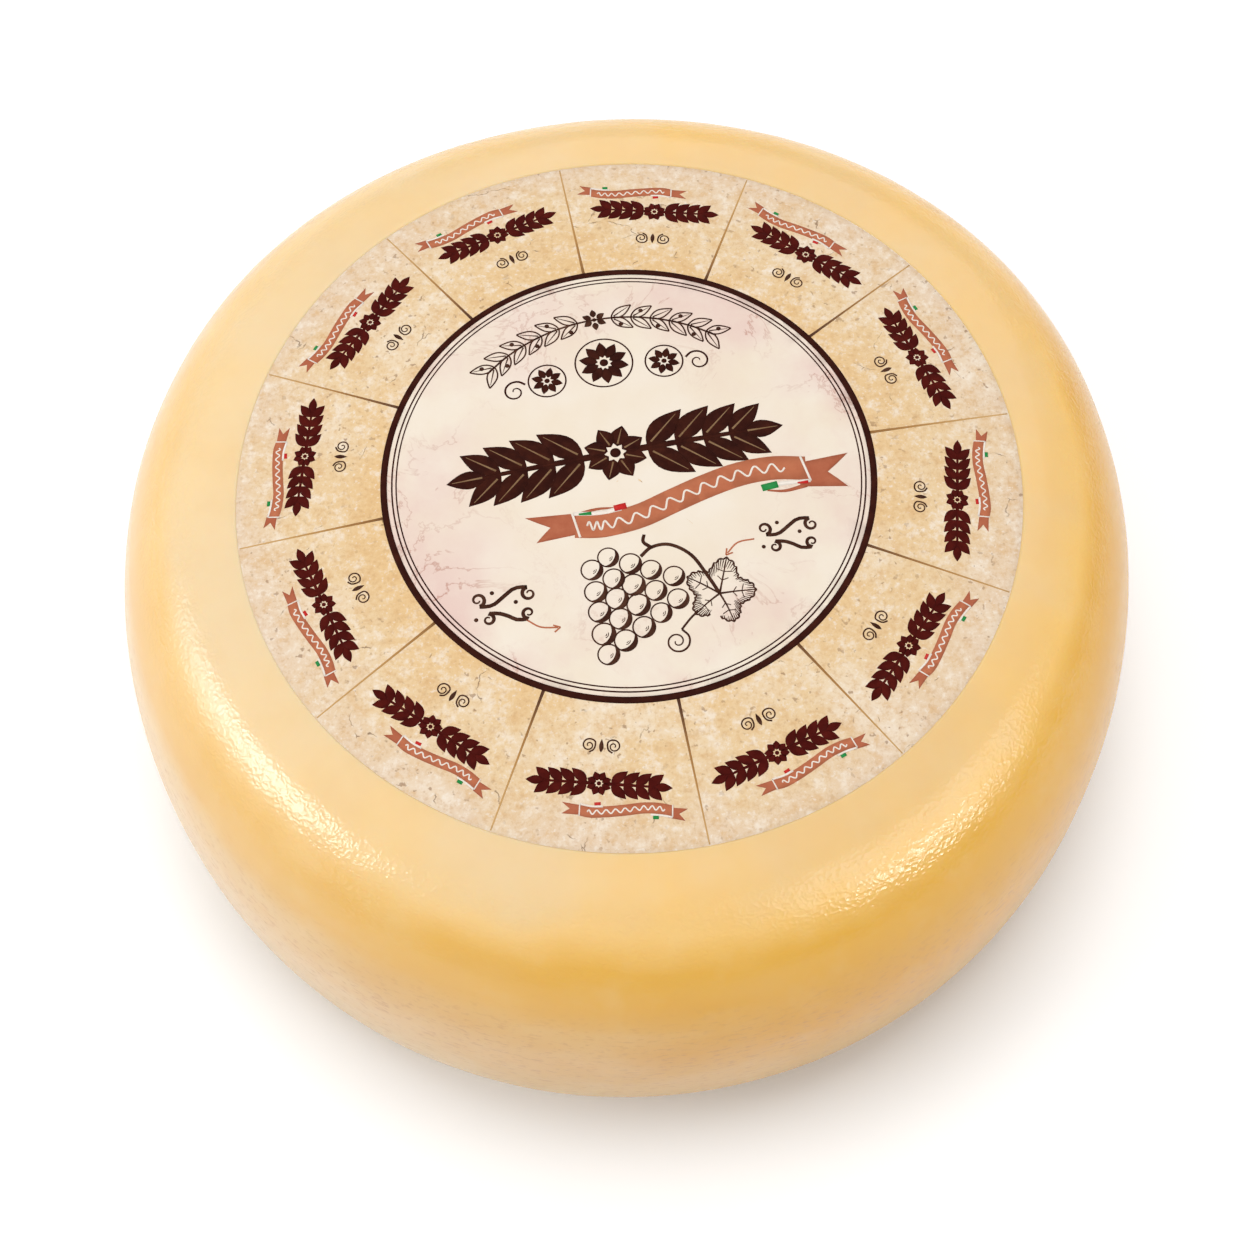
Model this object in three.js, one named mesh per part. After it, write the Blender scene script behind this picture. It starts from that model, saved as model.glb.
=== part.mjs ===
// A whole wheel of coated hard cheese, with a round paper label let into its domed top.
// Millimetres, +Z up. The origin is the middle of the footprint, on the surface the wheel stands on.
import * as THREE from "three";

// Driving dimensions of the wheel
const WHEEL_RADIUS = 140;
const WHEEL_HEIGHT = 113.5;
const WIDEST_HEIGHT = 45;
const SHOULDER_START = 103.2;
const FOOT_RADIUS = 103;
const ROUNDNESS = 2.4;

// Driving dimensions of the label
const LABEL_RADIUS = 100.4;
const LABEL_THICKNESS = 0.4;
const LABEL_GAP = 0.3;
const CROWN_DROP = 4.4;

// A pressed wheel is never quite round: how often each swell repeats round it, its size, its bearing
const SWELLS = [
  { repeats: 1, size: 1.2, bearing: 180 },
  { repeats: 2, size: 0.9, bearing: 76 },
  { repeats: 3, size: 1.1, bearing: 32 },
  { repeats: 4, size: 0.5, bearing: 45 },
];

// The top is not quite even either: long shallow waves, fading to nothing at the foot
const WAVE_HEIGHT = 0.35;
const WAVE_LENGTH_X = 210;
const WAVE_LENGTH_Y = 170;

// How finely the curves are cut
const ROUND_STEPS = 96;
const SHOULDER_STEPS = 15;
const HEEL_STEPS = 11;
const TOP_RINGS = 4;

const COLOURS = { rind: 0xf3d79c, label: 0xe9d3aa };

// Height of the domed top at a distance from its middle, before any roll over the shoulder
function domeHeight(radius) {
  return WHEEL_HEIGHT - CROWN_DROP * (radius / LABEL_RADIUS) ** 2;
}

// Points across the dome from the middle out to a radius, lowered by a depth
function domeLine(outerRadius, depth) {
  const line = [];
  for (let ring = 0; ring <= TOP_RINGS; ring++) {
    const radius = (outerRadius * ring) / TOP_RINGS;
    line.push(new THREE.Vector2(radius, domeHeight(radius) - depth));
  }
  return line;
}

// The rounded shoulder, from the flat of the top out to the widest line
function shoulderLine() {
  const drop = domeHeight(WHEEL_RADIUS) - WIDEST_HEIGHT;
  const line = [];
  for (let step = 0; step <= SHOULDER_STEPS; step++) {
    const turn = ((Math.PI / 2) * step) / SHOULDER_STEPS;
    const out = Math.sin(turn) ** (2 / ROUNDNESS);
    const fall = 1 - Math.max(0, Math.cos(turn)) ** (2 / ROUNDNESS);
    const radius = SHOULDER_START + (WHEEL_RADIUS - SHOULDER_START) * out;
    line.push(new THREE.Vector2(radius, domeHeight(radius) - drop * fall));
  }
  return line;
}

// The rounded heel, from the widest line in to the edge of the flat foot
function heelLine() {
  const line = [];
  for (let step = 1; step <= HEEL_STEPS; step++) {
    const turn = ((Math.PI / 2) * step) / HEEL_STEPS;
    const out = Math.max(0, Math.cos(turn)) ** (2 / ROUNDNESS);
    const fall = Math.sin(turn) ** (2 / ROUNDNESS);
    const radius = FOOT_RADIUS + (WHEEL_RADIUS - FOOT_RADIUS) * out;
    line.push(new THREE.Vector2(radius, WIDEST_HEIGHT * (1 - fall)));
  }
  return line;
}

// How much of the swells a point takes: none under the label, all of them from the widest line down
function swellShare(radius, height) {
  if (height <= WIDEST_HEIGHT) return Math.min(1, radius / FOOT_RADIUS);
  return THREE.MathUtils.smoothstep(radius, SHOULDER_START, WHEEL_RADIUS);
}

// Turns a profile, drawn from top middle to bottom middle, into a solid and makes it as uneven as food is
function turnedSolid(profile) {
  const geometry = new THREE.LatheGeometry(profile.reverse(), ROUND_STEPS);
  geometry.rotateX(Math.PI / 2);
  const points = geometry.getAttribute("position");
  for (let i = 0; i < points.count; i++) {
    const x = points.getX(i);
    const y = points.getY(i);
    const z = points.getZ(i);
    const radius = Math.hypot(x, y);
    const bearing = Math.atan2(y, x);
    let swell = 0;
    for (const { repeats, size, bearing: start } of SWELLS) {
      swell += size * Math.cos(repeats * (bearing - THREE.MathUtils.degToRad(start)));
    }
    const grown = radius + swell * swellShare(radius, z);
    const wave =
      Math.sin((2 * Math.PI * x) / WAVE_LENGTH_X + 1) * Math.cos((2 * Math.PI * y) / WAVE_LENGTH_Y);
    points.setXYZ(
      i,
      grown * Math.cos(bearing),
      grown * Math.sin(bearing),
      z + (WAVE_HEIGHT * wave * z) / WHEEL_HEIGHT,
    );
  }
  geometry.computeVertexNormals();
  return geometry;
}

function namedPiece(name, geometry, color, roughness) {
  const material = new THREE.MeshStandardMaterial({ color, roughness, metalness: 0 });
  const piece = new THREE.Mesh(geometry, material);
  piece.name = name;
  return piece;
}

// The cheese: a shallow bed for the label, the shoulder, the heel and the flat foot
function cheeseWheel() {
  const bed = domeLine(LABEL_RADIUS + LABEL_GAP, LABEL_THICKNESS + LABEL_GAP);
  const bedLip = new THREE.Vector2(LABEL_RADIUS + LABEL_GAP, domeHeight(LABEL_RADIUS + LABEL_GAP));
  const footMiddle = new THREE.Vector2(0, 0);
  const profile = [...bed, bedLip, ...shoulderLine(), ...heelLine(), footMiddle];
  return namedPiece("cheese_wheel", turnedSolid(profile), COLOURS.rind, 0.45);
}

// The label: a thin domed disc whose face lies level with the coat round it
function roundLabel() {
  const face = domeLine(LABEL_RADIUS, 0);
  const back = domeLine(LABEL_RADIUS, LABEL_THICKNESS).reverse();
  return namedPiece("round_label", turnedSolid([...face, ...back]), COLOURS.label, 0.7);
}

// Sets the pieces so that the middle of the wheel's outline stands over the origin
const wheel = cheeseWheel();
const onFootprint = new THREE.Group();
onFootprint.add(wheel, roundLabel());
const outline = new THREE.Box3().setFromObject(wheel);
const middle = outline.getCenter(new THREE.Vector3());
onFootprint.position.set(-middle.x, -middle.y, 0);

const cheese = new THREE.Group();
cheese.name = "whole_hard_cheese";
cheese.add(onFootprint);

export default cheese;
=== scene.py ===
# %% [markdown]
# # A whole wheel of hard cheese
#
# This lesson dresses a fixed model of a cheese wheel and its round label. The model gives the sizes and
# the places, and Blender makes what the eye sees: the waxy coat, the printed paper and the studio light.
# Every piece is drawn in millimetres and brought to metres once, at the end, because kitchen things are
# easier to think of in millimetres.

# %% Load the fixed model
import math
import random

import bmesh
import bpy
from mathutils import Matrix, Quaternion, Vector, noise


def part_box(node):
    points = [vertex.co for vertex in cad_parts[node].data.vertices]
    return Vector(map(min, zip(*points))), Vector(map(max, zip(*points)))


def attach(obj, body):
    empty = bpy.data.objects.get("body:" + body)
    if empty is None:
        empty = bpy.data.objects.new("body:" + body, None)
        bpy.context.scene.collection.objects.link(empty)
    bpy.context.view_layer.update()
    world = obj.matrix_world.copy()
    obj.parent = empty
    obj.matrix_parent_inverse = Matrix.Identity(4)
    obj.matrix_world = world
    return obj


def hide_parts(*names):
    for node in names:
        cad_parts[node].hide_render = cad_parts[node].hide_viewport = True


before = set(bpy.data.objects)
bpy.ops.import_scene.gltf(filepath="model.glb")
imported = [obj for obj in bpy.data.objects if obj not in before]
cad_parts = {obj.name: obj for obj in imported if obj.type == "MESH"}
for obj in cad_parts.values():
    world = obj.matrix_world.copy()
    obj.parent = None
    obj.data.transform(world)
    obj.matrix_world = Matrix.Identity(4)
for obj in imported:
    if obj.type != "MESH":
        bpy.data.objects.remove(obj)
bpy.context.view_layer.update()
BODY = "root"

# %% [markdown]
# ## Measuring up
#
# The label gives every other place on the top, so its middle and its radius are read from the model. The
# dome it lies on is a shallow bowl turned upside down, with long waves in it, because a pressed cheese is
# never quite even. The same formula shapes the cheese, the paper and every line of ink, so they fit.

# %% Read the label's place and write down the dome
MM = 0.001
TURN = 2 * math.pi

label_low, label_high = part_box("round_label")
label_middle = Vector(((label_low.x + label_high.x) / 2, (label_low.y + label_high.y) / 2, 0)) / MM
label_radius = (label_high.x - label_low.x) / 2 / MM

WHEEL_RADIUS = 140
WHEEL_HEIGHT = 113.5
WIDEST_HEIGHT = 45
SHOULDER_START = 103.2
FOOT_RADIUS = 103
ROUNDNESS = 2.4
CROWN_DROP = 4.4
WAVE_HEIGHT = 0.35
WAVE_LENGTH_X = 210
WAVE_LENGTH_Y = 170


def dome_height(radius):
    """Height of the top at a distance from its middle, before the waves."""
    return WHEEL_HEIGHT - CROWN_DROP * (radius / label_radius) ** 2


def wave_at(x, y):
    """Share by which the waves lift or lower a point, measured from the label's middle."""
    swing = math.sin(TURN * x / WAVE_LENGTH_X + 1) * math.cos(TURN * y / WAVE_LENGTH_Y)
    return 1 + WAVE_HEIGHT * swing / WHEEL_HEIGHT


print(f"label radius {label_radius:.1f} mm, middle {label_middle.x:.1f}, {label_middle.y:.1f} mm")

# %% [markdown]
# ## The camera
#
# The photograph looks down on the wheel from about sixty degrees with a short portrait lens, a little
# turned. The camera is written down as a place above the label, a pitch and a roll, so that each can be
# changed alone.

# %% Set up the camera
CAMERA_FROM_LABEL = Vector((-1.6, -259.2, 457.4))
CAMERA_PITCH = math.radians(64.56)
CAMERA_ROLL = math.radians(-1.83)
LENS = 58.85

right = Vector((1, 0, 0))
forward = Vector((0, math.cos(CAMERA_PITCH), -math.sin(CAMERA_PITCH)))
up = right.cross(forward)
rolled_right = right * math.cos(CAMERA_ROLL) + up * math.sin(CAMERA_ROLL)
rolled_up = up * math.cos(CAMERA_ROLL) - right * math.sin(CAMERA_ROLL)

camera = bpy.data.objects.new("camera", bpy.data.cameras.new("camera"))
bpy.context.scene.collection.objects.link(camera)
camera.data.lens = LENS
camera.data.sensor_width = 36
camera.matrix_world = Matrix((rolled_right, rolled_up, -forward)).transposed().to_4x4()
camera.location = (label_middle + CAMERA_FROM_LABEL + Vector((0, 0, dome_height(label_radius)))) * MM
bpy.context.scene.camera = camera
print("camera at", [round(x, 3) for x in camera.location])

# %% [markdown]
# ## Floor and light
#
# The photograph is a studio picture on white, so the floor and the sky are white. Most of the light comes
# from a panel overhead. It is kept out of the mirror, as a polarising filter would do, because the top of
# the wheel shows no gleam. A panel behind lights the far rim. A shiny thing shows its lamps, so each of
# the others stands where the shoulder mirrors it: a soft box and a gleam for the cream band on the left,
# with a low panel for the side under it, and on the right a broad glow, a thin strip and a short spark
# for the band that breaks up there. A lamp with lights off is seen only as a reflection.

# %% Lay the floor
FLOOR_SIZE = 6000

white = bpy.data.materials.new("studio white")
white.use_nodes = True
white_shader = white.node_tree.nodes["Principled BSDF"]
white_shader.inputs["Base Color"].default_value = (0.93, 0.93, 0.93, 1)
white_shader.inputs["Roughness"].default_value = 0.9
white_shader.inputs["Specular IOR Level"].default_value = 0.1

floor_shape = bmesh.new()
bmesh.ops.create_grid(floor_shape, x_segments=1, y_segments=1, size=FLOOR_SIZE * MM / 2)
floor_mesh = bpy.data.meshes.new("studio_floor")
floor_shape.to_mesh(floor_mesh)
floor_shape.free()
floor = bpy.data.objects.new("studio_floor", floor_mesh)
floor.data.materials.append(white)
bpy.context.scene.collection.objects.link(floor)

# %% Hang the lights
sky = bpy.data.worlds.new("studio sky")
bpy.context.scene.world = sky
sky.use_nodes = True
sky.node_tree.nodes["Background"].inputs["Color"].default_value = (1, 1, 1, 1)
sky.node_tree.nodes["Background"].inputs["Strength"].default_value = 0.56
bpy.context.scene.view_settings.view_transform = "Standard"


def soft_box(name, bearing, height_angle, distance, size, power, lean=0, lights=True, mirrors=True):
    """A rectangular lamp that faces the wheel. It can be left out of the light or out of the mirror."""
    lamp = bpy.data.lights.new(name, "AREA")
    lamp.shape = "RECTANGLE"
    lamp.size, lamp.size_y = size
    lamp.energy = power
    holder = bpy.data.objects.new(name, lamp)
    bpy.context.scene.collection.objects.link(holder)
    a, e = math.radians(bearing), math.radians(height_angle)
    towards = Vector((math.cos(a) * math.cos(e), math.sin(a) * math.cos(e), math.sin(e)))
    holder.location = towards * distance + Vector((0, 0, WIDEST_HEIGHT * MM))
    leaning = Quaternion((0, 0, 1), math.radians(lean))
    holder.rotation_euler = (towards.to_track_quat("Z", "Y") @ leaning).to_euler()
    holder.visible_diffuse = lights
    holder.visible_glossy = mirrors


soft_box("overhead panel", 130, 85, 2.2, (1.1, 1.1), 24, mirrors=False)
soft_box("back panel", 75, 42, 1.8, (1.4, 1.4), 5)
soft_box("left soft box", 188, 32, 1.1, (0.78, 0.36), 3.0, lean=40)
soft_box("left gleam", 197, 37, 1.1, (0.52, 0.24), 2.1, lean=28, lights=False)
soft_box("left low panel", 197, 12, 1.2, (1.0, 0.4), 1.0)
soft_box("right glow", 328, 42, 1.1, (0.80, 0.60), 2.9, lean=-20, lights=False)
soft_box("right strip", 325, 24, 1.1, (0.55, 0.05), 1.2, lean=-20)
soft_box("right spark", 320, 27, 1.08, (0.24, 0.04), 0.6, lean=-20)

# %% [markdown]
# ## Tools for finishes
#
# A finish is a small network of nodes. These helpers keep each network short: one adds a node and fills
# its inputs, and the others are the few nodes that come back all the time. Colours are written as they
# look on a screen and turned into light values once.


# %% Helpers for node networks
def light_value(channel):
    """Turns one screen colour channel, 0 to 255, into a light value."""
    share = channel / 255
    return share / 12.92 if share <= 0.04045 else ((share + 0.055) / 1.055) ** 2.4


def colour(red, green, blue):
    return (light_value(red), light_value(green), light_value(blue), 1)


def new_finish(name):
    made = bpy.data.materials.new(name)
    made.use_nodes = True
    return made, made.node_tree, made.node_tree.nodes["Principled BSDF"]


def add(tree, kind, options=None, **inputs):
    """Adds a node. Inputs are values or other nodes' outputs, by socket name or by number as _0, _1."""
    made = tree.nodes.new(kind)
    for key, value in (options or {}).items():
        setattr(made, key, value)
    for key, value in inputs.items():
        socket = made.inputs[int(key[1:])] if key[0] == "_" else made.inputs[key.replace("_", " ")]
        if isinstance(value, bpy.types.NodeSocket):
            tree.links.new(value, socket)
        else:
            socket.default_value = value
    return made


def maths(tree, operation, first, second=0.0, clamp=False):
    options = {"operation": operation, "use_clamp": clamp}
    return add(tree, "ShaderNodeMath", options, _0=first, _1=second).outputs[0]


def vector_maths(tree, operation, first, second=(0, 0, 0)):
    made = add(tree, "ShaderNodeVectorMath", {"operation": operation}, _0=first, _1=second)
    return made.outputs["Value" if operation in ("LENGTH", "DOT_PRODUCT") else "Vector"]


def grain(tree, vector, scale, detail=3.0, roughness=0.5):
    """Cloudy noise, about 0 to 1. Scale is how many blotches there are in a metre."""
    made = add(tree, "ShaderNodeTexNoise", None, Vector=vector, Scale=scale, Detail=detail,
               Roughness=roughness)
    return made.outputs[0]


def between(tree, factor, low, high, out_low=0.0, out_high=1.0):
    """Stretches a value from one range to another and stops at the ends."""
    made = add(tree, "ShaderNodeMapRange", {"clamp": True}, Value=factor, From_Min=low,
               From_Max=high, To_Min=out_low, To_Max=out_high)
    return made.outputs[0]


def ramp(tree, factor, stops):
    """Colours at given factors, blended smoothly from one to the next."""
    made = add(tree, "ShaderNodeValToRGB", None, Fac=factor)
    while len(made.color_ramp.elements) < len(stops):
        made.color_ramp.elements.new(0.5)
    for element, (place, tint) in zip(made.color_ramp.elements, stops):
        element.position = place
        element.color = tint
    return made.outputs[0]


def blended(tree, factor, first, second, how="MIX"):
    options = {"data_type": "RGBA", "blend_type": how, "clamp_factor": True}
    made = add(tree, "ShaderNodeMix", options)
    for number, value in ((0, factor), (6, first), (7, second)):
        if isinstance(value, bpy.types.NodeSocket):
            tree.links.new(value, made.inputs[number])
        else:
            made.inputs[number].default_value = value
    return made.outputs[2]


def bumped(tree, height, distance, strength=1.0, under=None):
    made = add(tree, "ShaderNodeBump", None, Height=height, Distance=distance, Strength=strength)
    if under is not None:
        tree.links.new(under, made.inputs["Normal"])
    return made.outputs[0]


def object_place(tree):
    return add(tree, "ShaderNodeTexCoord").outputs["Object"]


def label_place(tree):
    """Places measured from the label's middle, so that patterns can be centred on it."""
    middle = label_middle * MM
    made = add(tree, "ShaderNodeMapping", None, Vector=object_place(tree), Location=-middle)
    return made.outputs[0]


def from_middle(tree, place):
    """Distance of a place from the middle, seen from above."""
    return vector_maths(tree, "LENGTH", vector_maths(tree, "MULTIPLY", place, (1, 1, 0)))


def set_gloss(shader, roughness, specular):
    shader.inputs["Roughness"].default_value = roughness
    shader.inputs["Specular IOR Level"].default_value = specular


# %% [markdown]
# ## The coat
#
# The cheese is dipped in a pale yellow coat. It is thin and creamy on the top, buttery on the shoulder,
# gathers to a deeper gold where the shoulder turns into the side, and goes buff and brushed lower down
# where the wheel is handled. Height decides those zones, so five named colours run up the wheel, and
# noise makes their borders wander. The side towards the left lamps is painted paler, a painted sheen and
# painted light that is held back on the shoulder. The shoulder of the other side is painted a darker
# amber, a painted shade.
# The soft gleam comes from light that goes into the coat, a low roughness and a fine orange peel in the
# bump.

# %% Colours of the coat
BUFF = colour(191, 146, 52)
DEEP_GOLD = colour(208, 149, 38)
GOLD = colour(221, 168, 58)
BUTTER = colour(230, 186, 105)
CREAM = colour(218, 182, 124)
# Painted sheen and painted light: the pale tint on the side of the coat that faces the left lamps.
PAINTED_SHEEN = colour(222, 204, 172)
ZONES = [(30, BUFF), (66, DEEP_GOLD), (97, GOLD), (104, BUTTER), (110, CREAM)]
# Painted shade: a darker amber on the shoulder of the side turned away from the left lamps.
PAINTED_SHADE_AMBER = colour(210, 152, 28)
PAINTED_SHEEN_STRENGTH = 0.55
PAINTED_SHEEN_RUBBED = 0.5
LIT_SIDE_TOWARDS = (-1, -0.04, 0)
BORDER_WANDER = 0.007


def by_height(tree, share, stops):
    return ramp(tree, share, [(height / WHEEL_HEIGHT, tint) for height, tint in stops])


def coat_colour(tree, place, height, bearing):
    """Coloured by height, with a painted sheen on one side and painted amber shade on the other side's
    shoulder, faint clouds and brushed marks low down.
    """
    drift_place = vector_maths(tree, "ADD", vector_maths(tree, "MULTIPLY", bearing, (3, 3, 0)),
                               vector_maths(tree, "MULTIPLY", place, (0, 0, 60)))
    drift = maths(tree, "SUBTRACT", grain(tree, drift_place, 1.0, 2.0, 0.5), 0.5)
    wander = maths(tree, "MULTIPLY", drift, BORDER_WANDER * 2)
    share = maths(tree, "DIVIDE", maths(tree, "ADD", height, wander), WHEEL_HEIGHT * MM)
    facing = vector_maths(tree, "DOT_PRODUCT", bearing, LIT_SIDE_TOWARDS)
    shoulder = maths(tree, "MULTIPLY", between(tree, height, 0.080, 0.088),
                     between(tree, height, 0.105, 0.101))
    # Painted sheen: the side facing the left lamps is painted paler, and less so on the shoulder.
    painted_sheen = between(tree, maths(tree, "ADD", facing, drift), -0.25, 0.85, 0.0, PAINTED_SHEEN_STRENGTH)
    sheen_left_on = maths(tree, "SUBTRACT", 1.0, maths(tree, "MULTIPLY", shoulder, PAINTED_SHEEN_RUBBED))
    base = blended(tree, maths(tree, "MULTIPLY", painted_sheen, sheen_left_on), by_height(tree, share, ZONES), PAINTED_SHEEN)

    clouds = grain(tree, place, 60.0, 3.0, 0.6)
    # Painted shade: the shoulder turned away from the left lamps is painted a darker amber.
    painted_shade = maths(tree, "MULTIPLY", between(tree, facing, -0.8, -0.98, 0.0, 0.65), shoulder)
    shaded_coat = blended(tree, painted_shade, base, PAINTED_SHADE_AMBER)
    cloudy = blended(tree, between(tree, clouds, 0.5, 0.75, 0.0, 0.11), shaded_coat, colour(228, 210, 172))
    cloudy = blended(tree, between(tree, clouds, 0.5, 0.25, 0.0, 0.11), cloudy, colour(206, 156, 88))

    low_down = between(tree, height, 0.090, 0.070)
    wash = between(tree, grain(tree, place, 26.0, 3.0, 0.6), 0.42, 0.72, 0.0, 0.3)
    washed = blended(tree, maths(tree, "MULTIPLY", wash, low_down), cloudy, colour(205, 160, 96))
    brush_place = vector_maths(tree, "ADD", vector_maths(tree, "MULTIPLY", bearing, (0.14, 0.14, 0)),
                               vector_maths(tree, "MULTIPLY", place, (0.1, 0.1, 3.0)))
    brush = between(tree, grain(tree, brush_place, 320.0, 2.0, 0.6), 0.54, 0.70, 0.0, 0.45)
    return blended(tree, maths(tree, "MULTIPLY", brush, low_down), washed, colour(170, 118, 62))


# %% Skin of the coat
def coat_skin(tree, place, height, bearing):
    """Dimples of the dipped coat, strong on the shoulder and nearly gone on the top and the side."""
    radius = from_middle(tree, place)
    down_slope = maths(tree, "SUBTRACT", radius, height)
    slope_place = add(tree, "ShaderNodeCombineXYZ", None, Z=down_slope)
    around = vector_maths(tree, "MULTIPLY", bearing, (0.13, 0.13, 0))
    unrolled = vector_maths(tree, "ADD", around, slope_place.outputs[0])
    warp = add(tree, "ShaderNodeTexNoise", None, Vector=unrolled, Scale=300.0, Detail=1.0).outputs["Color"]
    warped = vector_maths(tree, "ADD", unrolled, vector_maths(tree, "MULTIPLY", warp, (0.003, 0.003, 0.003)))
    dimples = add(tree, "ShaderNodeTexVoronoi", {"feature": "F1"}, Vector=warped,
                  Scale=680.0).outputs["Distance"]
    lumps = grain(tree, unrolled, 190.0, 1.0, 0.5)
    shoulder = maths(tree, "MULTIPLY", between(tree, height, 0.092, 0.099),
                     between(tree, height, 0.1076, 0.1060))
    strong = maths(tree, "ADD", maths(tree, "MULTIPLY", shoulder, 0.95), 0.05)
    lumpy = bumped(tree, maths(tree, "MULTIPLY", lumps, strong), 0.00009)
    return bumped(tree, maths(tree, "MULTIPLY", dimples, strong), 0.00010, 1.0, lumpy), lumps


# %% Mix the coat
def coat_finish():
    made, tree, shader = new_finish("waxy coat")
    place = object_place(tree)
    height = add(tree, "ShaderNodeSeparateXYZ", None, Vector=place).outputs["Z"]
    bearing = vector_maths(tree, "NORMALIZE", vector_maths(tree, "MULTIPLY", place, (1, 1, 0)))
    tree.links.new(coat_colour(tree, place, height, bearing), shader.inputs["Base Color"])
    skin, lumps = coat_skin(tree, place, height, bearing)
    tree.links.new(skin, shader.inputs["Normal"])
    satin = between(tree, height, 0.092, 0.078, 0.19, 0.265)
    uneven = maths(tree, "MULTIPLY", between(tree, lumps, 0.3, 0.7, -0.03, 0.02),
                   between(tree, height, 0.093, 0.098))
    tree.links.new(maths(tree, "ADD", satin, uneven), shader.inputs["Roughness"])
    shader.inputs["Specular IOR Level"].default_value = 0.6
    shader.inputs["Subsurface Weight"].default_value = 0.25
    shader.inputs["Subsurface Radius"].default_value = (1.0, 0.55, 0.2)
    shader.inputs["Subsurface Scale"].default_value = 0.004
    return made


# %% [markdown]
# ## Turning the wheel
#
# The wheel is a turned shape, so its outline is drawn once, from the middle of the top to the middle of
# the foot, and spun round the middle. The shoulder and the heel follow a superellipse, which is rounder
# than a bevel and squarer than a circle. After spinning, the swells push the outline out of round, and a
# low relief is pressed into the skin, so that its gleam breaks up as it does on real wax.

# %% Outline of the wheel
SHOULDER_STEPS = 60
HEEL_STEPS = 28
BED_RINGS = 8
BED_DEPTH = 0.45
LABEL_SINK = 0.07
LIP_DROP = 0.02
LIP_WIDTH = 0.7
EDGE_OVERLAP = 0.05


def shoulder_points():
    drop = dome_height(WHEEL_RADIUS) - WIDEST_HEIGHT
    for step in range(SHOULDER_STEPS + 1):
        turn = TURN / 4 * step / SHOULDER_STEPS
        radius = SHOULDER_START + (WHEEL_RADIUS - SHOULDER_START) * math.sin(turn) ** (2 / ROUNDNESS)
        fall = 1 - max(0, math.cos(turn)) ** (2 / ROUNDNESS)
        yield radius, dome_height(radius) - drop * fall


def heel_points():
    for step in range(1, HEEL_STEPS + 1):
        turn = TURN / 4 * step / HEEL_STEPS
        radius = FOOT_RADIUS + (WHEEL_RADIUS - FOOT_RADIUS) * max(0, math.cos(turn)) ** (2 / ROUNDNESS)
        yield radius, WIDEST_HEIGHT * (1 - math.sin(turn) ** (2 / ROUNDNESS))


def wheel_outline():
    edge = label_radius - EDGE_OVERLAP
    bed = [(edge * ring / BED_RINGS, dome_height(edge * ring / BED_RINGS) - BED_DEPTH)
           for ring in range(BED_RINGS + 1)]
    lip_start = (edge, dome_height(edge) - LABEL_SINK - LIP_DROP)
    lip = [lip_start, (edge + LIP_WIDTH, dome_height(edge + LIP_WIDTH))]
    return [*bed, *lip, *shoulder_points(), *heel_points(), (FOOT_RADIUS / 2, 0), (0, 0)]


def turned(outline, steps):
    """Spins an outline of (radius, height) points into a closed shape."""
    shape = bmesh.new()
    verts = [shape.verts.new((radius, 0, height)) for radius, height in outline]
    for first, second in zip(verts, verts[1:]):
        shape.edges.new((first, second))
    bmesh.ops.spin(shape, geom=shape.verts[:] + shape.edges[:], cent=(0, 0, 0), axis=(0, 0, 1),
                   angle=TURN, steps=steps, use_merge=True)
    bmesh.ops.remove_doubles(shape, verts=shape.verts, dist=0.0005)
    bmesh.ops.recalc_face_normals(shape, faces=shape.faces)
    return shape


# %% Swells and relief
SWELLS = [(1, 1.2, 180), (2, 0.9, 76), (3, 1.1, 32), (4, 0.5, 45)]
RELIEF = [(30, 0.26), (11, 0.10), (4, 0.03)]


def smooth_share(value, low, high):
    share = min(1, max(0, (value - low) / (high - low)))
    return share * share * (3 - 2 * share)


def swelled(point):
    """Moves a point of the round wheel to where it is on the uneven one."""
    radius = math.hypot(point.x, point.y)
    bearing = math.atan2(point.y, point.x)
    swell = sum(size * math.cos(repeats * (bearing - math.radians(start))) for repeats, size, start in SWELLS)
    if point.z <= WIDEST_HEIGHT:
        share = min(1, radius / FOOT_RADIUS)
    else:
        share = smooth_share(radius, SHOULDER_START, WHEEL_RADIUS)
    grown = radius + swell * share
    x, y = grown * math.cos(bearing), grown * math.sin(bearing)
    return Vector((x, y, point.z * wave_at(point.x, point.y)))


def pressed_relief(shape):
    """Presses shallow dents into the skin, never out of it, and none under the label or the foot."""
    shape.normal_update()
    for vert in shape.verts:
        radius = math.hypot(vert.co.x, vert.co.y)
        skin = smooth_share(radius, label_radius, label_radius + 5) * smooth_share(vert.co.z, 0.5, 8)
        dent = sum(depth * (0.5 + 0.5 * noise.noise(vert.co / size)) for size, depth in RELIEF)
        vert.co -= vert.normal * dent * skin


# %% Turn the wheel
WHEEL_STEPS = 360


def rounded_piece(name, shape, finish):
    """Brings a shape drawn in millimetres to metres, and makes it a smooth piece on the cheese."""
    bmesh.ops.scale(shape, vec=(MM, MM, MM), verts=shape.verts)
    mesh = bpy.data.meshes.new(name)
    shape.to_mesh(mesh)
    shape.free()
    mesh.shade_smooth()
    mesh.materials.append(finish)
    piece = bpy.data.objects.new(name, mesh)
    bpy.context.scene.collection.objects.link(piece)
    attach(piece, BODY)
    print(name, len(mesh.polygons), "faces")
    return piece


wheel_shape = turned(wheel_outline(), WHEEL_STEPS)
for vert in wheel_shape.verts:
    vert.co = swelled(vert.co)
pressed_relief(wheel_shape)
bmesh.ops.translate(wheel_shape, vec=label_middle, verts=wheel_shape.verts)
wheel = rounded_piece("coated_wheel", wheel_shape, coat_finish())
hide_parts("cheese_wheel")

# %% [markdown]
# ## The paper
#
# The label is a disc of paper printed to look like old parchment. It could be a flat disc with a picture,
# but a picture is not needed: mottling, flecks and hairline cracks are all noise at different scales, and
# the paper greys towards its edge. It is turned like the wheel, so that it follows the dome.


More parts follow.
